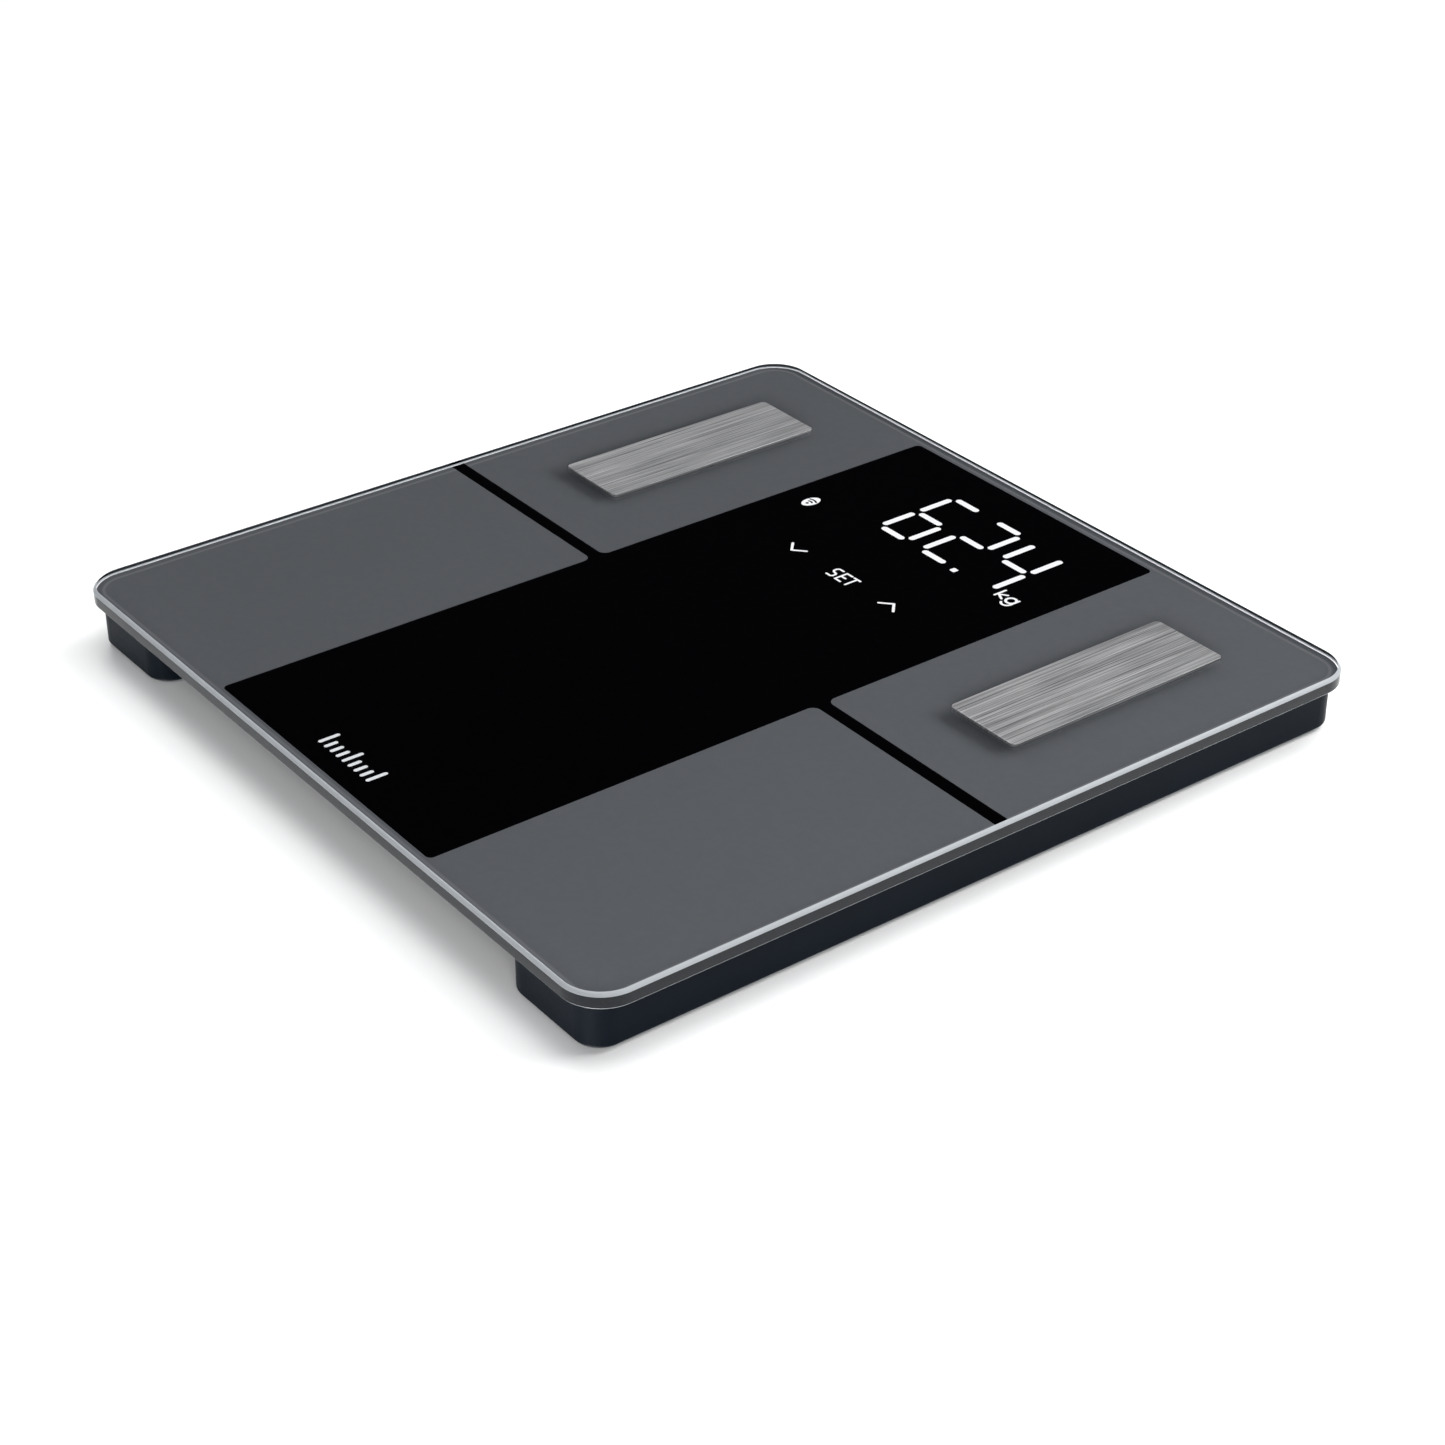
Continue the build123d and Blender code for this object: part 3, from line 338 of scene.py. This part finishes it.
def inkMaterial(finish):
    # screen-printed on the back of the glass: dead matt behind it, with a faint squeegee mottle
    material, tree, shader = startMaterial(finish["material"], {"Roughness": 1.0, "Specular IOR Level": 0.0})
    mottle = addPattern(tree, noise, (finish["mottleMm"],) * 3, {"Detail": octaves["mottle"]}).outputs[0]
    front = tintBetween(tree, mottle, finish["colours"])
    place = addNode(tree, "ShaderNodeTexCoord")
    axes = addNode(tree, "ShaderNodeSeparateXYZ", {}, {0: place.outputs["Object"]})
    if "rim" in finish:  # a lighter line a little inside the edge: painted light, standing in for light carried in through the glass edge
        front = addNode(tree, "ShaderNodeMix", {"data_type": "RGBA"},
                        {0: rimLine(tree, axes, finish["rim"]), 6: front,
                         7: linear(finish["rim"]["colour"])}).outputs[2]
    filmLow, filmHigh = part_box("grey_print")
    backTop = filmLow.z + sealingCoat["share"] * (filmHigh.z - filmLow.z)
    onBack = addNode(tree, "ShaderNodeMath", {"operation": "LESS_THAN"}, {0: axes.outputs["Z"], 1: backTop})
    specks = addPattern(tree, noise, (sealingCoat["mottleMm"],) * 3, {"Detail": octaves["cloud"]}).outputs[0]
    colour = addNode(tree, "ShaderNodeMix", {"data_type": "RGBA"},
                     {0: onBack.outputs[0], 6: front, 7: tintBetween(tree, specks, sealingCoat["colours"])})
    tree.links.new(colour.outputs[2], shader.inputs["Base Color"])
    return material


litWindows = {
    "lit_mark": {
        "material": "backlit_window", "colours": ("#f7f9fb", "#ffffff"), "unlit": "#3a3c3e",
        "patchMm": 6.0, "strength": 1.08},
}


def litMaterial(finish):
    # a window in the print with a light box behind it: even white light, a little cooler in places
    material, tree, shader = startMaterial(
        finish["material"], {"Roughness": 1.0, "Specular IOR Level": 0.0, "Base Color": linear(finish["unlit"]),
                             "Emission Strength": finish["strength"]})
    patches = addPattern(tree, noise, (finish["patchMm"],) * 3, {"Detail": octaves["cloud"]}).outputs[0]
    tree.links.new(tintBetween(tree, patches, finish["colours"]), shader.inputs["Emission Color"])
    return material


softs = {
    "foot_rubber": {
        "material": "moulded_natural_rubber", "colours": ("#1d1d1e", "#262627"),
        "roughness": (0.65, 0.8), "ior": 1.5, "shine": 0.35,
        "cloudMm": 8, "cellMm": 0.6, "cellDeepMm": 0.02, "cellStrength": 0.3},
    "foam_tape": {
        "material": "cut_foam_tape", "colours": ("#191a1c", "#212224"),
        "roughness": (0.85, 0.95), "ior": 1.5, "shine": 0.2,
        "cloudMm": 5, "cellMm": 0.5, "cellDeepMm": 0.05, "cellStrength": 0.6},
    "pad_foam": {
        "material": "cut_conductive_foam", "colours": ("#303134", "#3b3c3f"),
        "roughness": (0.85, 0.95), "ior": 1.5, "shine": 0.2,
        "cloudMm": 4, "cellMm": 0.5, "cellDeepMm": 0.06, "cellStrength": 0.7},
    "cable_sheath": {
        "material": "extruded_black_pvc", "colours": ("#26272a", "#303134"),
        "roughness": (0.45, 0.6), "ior": 1.5, "shine": 0.4,
        "cloudMm": 10, "cellMm": 0.8, "cellDeepMm": 0.01, "cellStrength": 0.2},
    "lead_sheath": {
        "material": "extruded_red_pvc", "colours": ("#8e1f1b", "#a52822"),
        "roughness": (0.4, 0.55), "ior": 1.5, "shine": 0.4,
        "cloudMm": 8, "cellMm": 0.8, "cellDeepMm": 0.01, "cellStrength": 0.2},
}


def softMaterial(finish):
    # rubber, foam and soft sheath: matt, with small cells or moulding marks
    material, tree, shader = startMaterial(
        finish["material"], {"IOR": finish["ior"], "Specular IOR Level": finish["shine"]})
    cells = addPattern(tree, "ShaderNodeTexVoronoi", (finish["cellMm"],) * 3, {}).outputs[0]
    cloud = addPattern(tree, noise, (finish["cloudMm"],) * 3, {"Detail": octaves["cloud"]}).outputs[0]
    coat(tree, shader, tintBetween(tree, cloud, finish["colours"]), cloud, finish["roughness"],
         (cells, finish["cellStrength"], finish["cellDeepMm"]))
    return material


batteryWrap = {"material": "heat_shrunk_pvc_sleeve", "colours": ("#26344c", "#2d3d58"), "band": "#a98d4e",
               "bandMm": 11, "cloudMm": 6, "roughness": (0.18, 0.3), "ior": 1.55}


def batteryMaterial():
    # a glossy dark sleeve with a pale band round one end
    material, tree, shader = startMaterial(batteryWrap["material"], {"IOR": batteryWrap["ior"]})
    cloud = addPattern(tree, noise, (batteryWrap["cloudMm"],) * 3, {"Detail": octaves["cloud"]}).outputs[0]
    low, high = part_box("battery_1")
    place = addNode(tree, "ShaderNodeTexCoord")
    axes = addNode(tree, "ShaderNodeSeparateXYZ", {}, {0: place.outputs["Object"]})
    onBand = addNode(tree, "ShaderNodeMath", {"operation": "GREATER_THAN"},
                     {0: axes.outputs["X"], 1: high.x - batteryWrap["bandMm"] * mm})
    colour = addNode(tree, "ShaderNodeMix", {"data_type": "RGBA"},
                     {0: onBand.outputs[0], 6: tintBetween(tree, cloud, batteryWrap["colours"]),
                      7: linear(batteryWrap["band"])})
    coat(tree, shader, colour.outputs[2], cloud, batteryWrap["roughness"])
    return material


circuitBoard = {"material": "lacquered_fibreglass_board", "masks": ("#1f5a38", "#1b5233"),
                "trace": "#2f7349", "traceStepMm": 3, "traceShare": 0.06, "traceStrength": 0.3,
                "traceDeepMm": 0.03, "glossMm": 4, "roughness": (0.25, 0.38), "ior": 1.5}


def boardMaterial():
    # solder mask over copper: glossy green with slightly raised, lighter traces
    material, tree, shader = startMaterial(circuitBoard["material"], {"IOR": circuitBoard["ior"]})
    traces = addPattern(tree, "ShaderNodeTexBrick", (circuitBoard["traceStepMm"],) * 3,
                        {"Color1": linear(circuitBoard["masks"][0]), "Color2": linear(circuitBoard["masks"][1]),
                         "Mortar": linear(circuitBoard["trace"]), "Mortar Size": circuitBoard["traceShare"]})
    gloss = addPattern(tree, noise, (circuitBoard["glossMm"],) * 3, {"Detail": octaves["cloud"]}).outputs[0]
    coat(tree, shader, traces.outputs["Color"], gloss, circuitBoard["roughness"],
         (traces.outputs["Fac"], circuitBoard["traceStrength"], circuitBoard["traceDeepMm"]))
    return material


ratingLabel = {"material": "printed_silver_polyester", "colours": ("#a3a6aa", "#b1b4b8"), "line": "#2b2d30",
               "lineInMm": 1.6, "lineHalfMm": 0.2, "cloudMm": 9, "glossMm": 1, "roughness": (0.35, 0.5),
               "metallic": 0.6}


def labelMaterial():
    # satin silver, with a thin printed frame round it and no words
    material, tree, shader = startMaterial(ratingLabel["material"], {"Metallic": ratingLabel["metallic"]})
    low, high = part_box("rating_label")
    middle, half = (low + high) / 2, (high - low) / 2
    place = addNode(tree, "ShaderNodeTexCoord")
    moved = addNode(tree, "ShaderNodeMapping", {}, {"Vector": place.outputs["Object"], "Location": -middle})
    axes = addNode(tree, "ShaderNodeSeparateXYZ", {}, {0: moved.outputs[0]})
    edges = []
    for axis, reach in (("X", half.x), ("Y", half.y)):
        away = addNode(tree, "ShaderNodeMath", {"operation": "ABSOLUTE"}, {0: axes.outputs[axis]})
        edges.append(addNode(tree, "ShaderNodeMath", {"operation": "SUBTRACT"}, {0: away.outputs[0], 1: reach}))
    nearest = addNode(tree, "ShaderNodeMath", {"operation": "MAXIMUM"},
                      {0: edges[0].outputs[0], 1: edges[1].outputs[0]})
    onLine = addNode(tree, "ShaderNodeMath", {"operation": "COMPARE"},
                     {0: nearest.outputs[0], 1: -ratingLabel["lineInMm"] * mm, 2: ratingLabel["lineHalfMm"] * mm})
    cloud = addPattern(tree, noise, (ratingLabel["cloudMm"],) * 3, {"Detail": octaves["cloud"]}).outputs[0]
    gloss = addPattern(tree, noise, (ratingLabel["glossMm"],) * 3, {"Detail": octaves["cloud"]}).outputs[0]
    colour = addNode(tree, "ShaderNodeMix", {"data_type": "RGBA"},
                     {0: onLine.outputs[0], 6: tintBetween(tree, cloud, ratingLabel["colours"]),
                      7: linear(ratingLabel["line"])})
    coat(tree, shader, colour.outputs[2], gloss, ratingLabel["roughness"])
    return material


finishes = {}
for makeMaterial, group in ((plasticMaterial, plastics), (metalMaterial, metals), (inkMaterial, inks),
                            (litMaterial, litWindows), (softMaterial, softs)):
    for slot, finish in group.items():
        finishes[slot] = makeMaterial(finish)
finishes["battery_wrap"] = batteryMaterial()
finishes["board_green"] = boardMaterial()
finishes["label_film"] = labelMaterial()

glassIor = 1.52
glassFinishes = {  # in the order of the plate's material slots
    "polished_toughened_glass": {
        "tint": "#fafafc", "clear": 1.0, "roughness": (0.0, 0.01), "shine": 0.5, "waveMm": 30,
        "shadow": "#f4f5f6"},
    # pale partly for a ground arris and partly as a painted highlight, standing in for the bright reflected line
    # along the edge
    "ground_arris_and_painted_highlight": {
        "tint": "#aaaeb2", "clear": 0.2, "roughness": (0.3, 0.42), "shine": 0.5, "waveMm": 3,
        "shadow": "#f4f5f6"},
    # dark as painted shade, standing in for the dark that the upright glass edge shows
    "painted_shade_glass_edge": {
        "tint": "#0b1117", "clear": 0.4, "roughness": (0.05, 0.09), "shine": 0.12, "waveMm": 6,
        "shadow": "#8a9198"},
}


def glassMaterial(name, finish):
    # toughened soda-lime glass: clear, mirror-smooth faces, a ground arris that is pale partly with painted
    # highlight, and an upright edge darkened with painted shade; lamps shine straight through it on to the print
    material, tree, shader = startMaterial(
        name, {"IOR": glassIor, "Transmission Weight": finish["clear"], "Specular IOR Level": finish["shine"],
               "Base Color": linear(finish["tint"])})
    wave = addPattern(tree, noise, (finish["waveMm"],) * 3, {"Detail": octaves["cloud"]}).outputs[0]
    coat(tree, shader, None, wave, finish["roughness"])
    path = addNode(tree, "ShaderNodeLightPath")
    clearWhere(tree, shader, path.outputs["Is Shadow Ray"], finish["shadow"])
    return material


glasses = [glassMaterial(name, finish) for name, finish in glassFinishes.items()]
print("materials ready:", len(finishes) + len(glasses))

for part in frame["record"]["subparts"]:
    if part["material_slot"] in finishes:
        for holder in nodes[part["node"]].material_slots:
            holder.material = finishes[part["material_slot"]]


# new pieces

def takeUp(piece):
    bpy.ops.object.select_all(action="DESELECT")
    piece.select_set(True)
    bpy.context.view_layer.objects.active = piece


def beginPiece(name):
    piece = bpy.context.active_object
    piece.name = piece.data.name = name
    takeUp(piece)
    bpy.ops.object.transform_apply(location=True, rotation=True, scale=True)
    return piece


def pickEdges(piece, wanted):
    bpy.ops.mesh.select_mode(type="EDGE")
    bpy.ops.mesh.select_all(action="DESELECT")
    mesh = bmesh.from_edit_mesh(piece.data)
    for edge in mesh.edges:
        if wanted(edge.verts[0].co, edge.verts[1].co):
            edge.select_set(True)
    bmesh.update_edit_mesh(piece.data)


glassPlate = {"corner": 14 * mm, "cornerSteps": 20, "topArris": 1.15 * mm, "topSteps": 6,
              "bottomArris": 0.5 * mm, "bottomSteps": 4, "arrisProfile": 0.33, "studHole": 2.5 * mm,
              "holeSides": 48, "drillLong": 30 * mm, "washerRadius": 4.5 * mm, "intoPrint": 0.1 * mm,
              "flatFrom": 0.995, "uprightTo": 0.1}


def makeGlassPlate():
    # the plate reaches a hair into the print, so that the print meets the glass with no air between them
    low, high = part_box("glass_platform")
    low.z -= glassPlate["intoPrint"]
    bpy.ops.mesh.primitive_cube_add(size=1, location=(low + high) / 2, scale=high - low)
    plate = beginPiece("glass_plate")
    bpy.ops.object.mode_set(mode="EDIT")
    pickEdges(plate, lambda a, b: abs(a.z - b.z) > mm)
    bpy.ops.mesh.bevel(offset=glassPlate["corner"], segments=glassPlate["cornerSteps"], affect="EDGES")
    for level, size, steps in ((high.z, glassPlate["topArris"], glassPlate["topSteps"]),
                               (low.z, glassPlate["bottomArris"], glassPlate["bottomSteps"])):
        pickEdges(plate, lambda a, b: abs(a.z - level) < touching and abs(b.z - level) < touching)
        bpy.ops.mesh.bevel(offset=size, segments=steps, profile=glassPlate["arrisProfile"], affect="EDGES")
    bpy.ops.object.mode_set(mode="OBJECT")

    washerLow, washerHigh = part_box("stud_washers")
    for side in (-1, 1):
        middle = (side * (washerHigh.x - glassPlate["washerRadius"]), (washerLow.y + washerHigh.y) / 2, high.z)
        bpy.ops.mesh.primitive_cylinder_add(vertices=glassPlate["holeSides"], radius=glassPlate["studHole"],
                                            depth=glassPlate["drillLong"], location=middle)
        drill = beginPiece("drill")
        cut = plate.modifiers.new("drill", "BOOLEAN")
        cut.operation = "DIFFERENCE"
        cut.object = drill
        takeUp(plate)
        bpy.ops.object.modifier_apply(modifier="drill")
        bpy.data.objects.remove(drill)

    takeUp(plate)
    bpy.ops.object.shade_smooth_by_angle(angle=smoothBelow)
    plate.modifiers.new("flatFaces", "WEIGHTED_NORMAL").keep_sharp = True  # the broad faces stay dead flat
    bpy.ops.object.modifier_apply(modifier="flatFaces")
    for glass in glasses:
        plate.data.materials.append(glass)
    for face in plate.data.polygons:  # broad faces are polished, upright ones darkened with painted shade, the arrises between ground and lightened with a painted highlight
        lean = abs(face.normal.z)
        face.material_index = 0 if lean > glassPlate["flatFrom"] else 2 if lean < glassPlate["uprightTo"] else 1
    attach(plate, "platform")
    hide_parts("glass_platform")


makeGlassPlate()
print("glass plate made")

rubberFoot = {"turnSteps": 72, "padThick": 2.2 * mm, "grooves": (4.5 * mm, 8.0 * mm, 11.5 * mm),
              "grooveWide": 1.0 * mm, "grooveDeep": 0.5 * mm, "grooveSlant": 0.15 * mm, "edge": 0.5 * mm,
              "edgeSteps": 4, "studRadius": 3.0 * mm}


def makeRubberFoot(corner):
    # a moulded pad with concentric grooves under it, turned from its section
    low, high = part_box("rubber_pad_" + corner)
    middle = (low + high) / 2
    radius, padTop = (high.x - low.x) / 2, low.z + rubberFoot["padThick"]
    edge, slant, stud = rubberFoot["edge"], rubberFoot["grooveSlant"], rubberFoot["studRadius"]
    roof = low.z + rubberFoot["grooveDeep"]
    section = [(0.0, low.z)]
    for groove in rubberFoot["grooves"]:
        near, far = groove - rubberFoot["grooveWide"] / 2, groove + rubberFoot["grooveWide"] / 2
        section += [(near, low.z), (near + slant, roof), (far - slant, roof), (far, low.z)]
    for step in range(rubberFoot["edgeSteps"] + 1):
        turn = math.pi / 2 * step / rubberFoot["edgeSteps"]
        section.append((radius - edge + edge * math.sin(turn), low.z + edge - edge * math.cos(turn)))
    section += [(radius, padTop), (stud, padTop), (stud, high.z), (0.0, high.z)]

    mesh = bpy.data.meshes.new("foot_pad_" + corner)
    mesh.from_pydata([(middle.x + r, middle.y, z) for r, z in section],
                     [(i, i + 1) for i in range(len(section) - 1)], [])
    pad = bpy.data.objects.new(mesh.name, mesh)
    scene.collection.objects.link(pad)
    takeUp(pad)
    bpy.ops.object.mode_set(mode="EDIT")
    bpy.ops.mesh.select_all(action="SELECT")
    bpy.ops.mesh.spin(steps=rubberFoot["turnSteps"], angle=math.tau, center=(middle.x, middle.y, 0),
                      axis=(0, 0, 1))
    bpy.ops.mesh.select_all(action="SELECT")
    bpy.ops.mesh.remove_doubles(threshold=touching)
    bpy.ops.mesh.normals_make_consistent(inside=False)
    bpy.ops.object.mode_set(mode="OBJECT")
    bpy.ops.object.shade_smooth_by_angle(angle=smoothBelow)
    pad.data.materials.append(finishes["foot_rubber"])
    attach(pad, "foot_" + corner)
    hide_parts("rubber_pad_" + corner)


for corner in corners:
    makeRubberFoot(corner)
print("rubber feet made")


# floor

studioFloor = {"size": 60, "material": "matt_paper_sweep", "colours": ("#efefef", "#f1f1f1"), "cloudMm": 400,
               "roughness": 0.9, "shine": 0.1, "fadeFrom": 0.9, "fadeTo": 1.6, "clear": "#ffffff"}

bpy.ops.mesh.primitive_plane_add(size=studioFloor["size"], location=(0, 0, cadLow.z))
floor = beginPiece("studio_floor")
floorSheet, tree, shader = startMaterial(
    studioFloor["material"], {"Roughness": studioFloor["roughness"], "Specular IOR Level": studioFloor["shine"]})
cloud = addPattern(tree, noise, (studioFloor["cloudMm"],) * 3, {"Detail": octaves["cloud"]}).outputs[0]
tree.links.new(tintBetween(tree, cloud, studioFloor["colours"]), shader.inputs["Base Color"])
# the sheet hides nothing from below, lets the lamp under it through and fades out far away
path = addNode(tree, "ShaderNodeLightPath")
side = addNode(tree, "ShaderNodeNewGeometry")
place = addNode(tree, "ShaderNodeTexCoord")
away = addNode(tree, "ShaderNodeVectorMath", {"operation": "LENGTH"}, {0: place.outputs["Object"]})
fade = addNode(tree, "ShaderNodeMapRange", {"interpolation_type": "SMOOTHSTEP"},
               {"Value": away.outputs["Value"], "From Min": studioFloor["fadeFrom"],
                "From Max": studioFloor["fadeTo"]})
unseen = addNode(tree, "ShaderNodeMath", {"operation": "MAXIMUM"},
                 {0: path.outputs["Is Shadow Ray"], 1: side.outputs["Backfacing"]})
gone = addNode(tree, "ShaderNodeMath", {"operation": "MAXIMUM"}, {0: unseen.outputs[0], 1: fade.outputs[0]})
clearWhere(tree, shader, gone.outputs[0], studioFloor["clear"])
floor.data.materials.append(floorSheet)
print("floor laid")

print("finished")
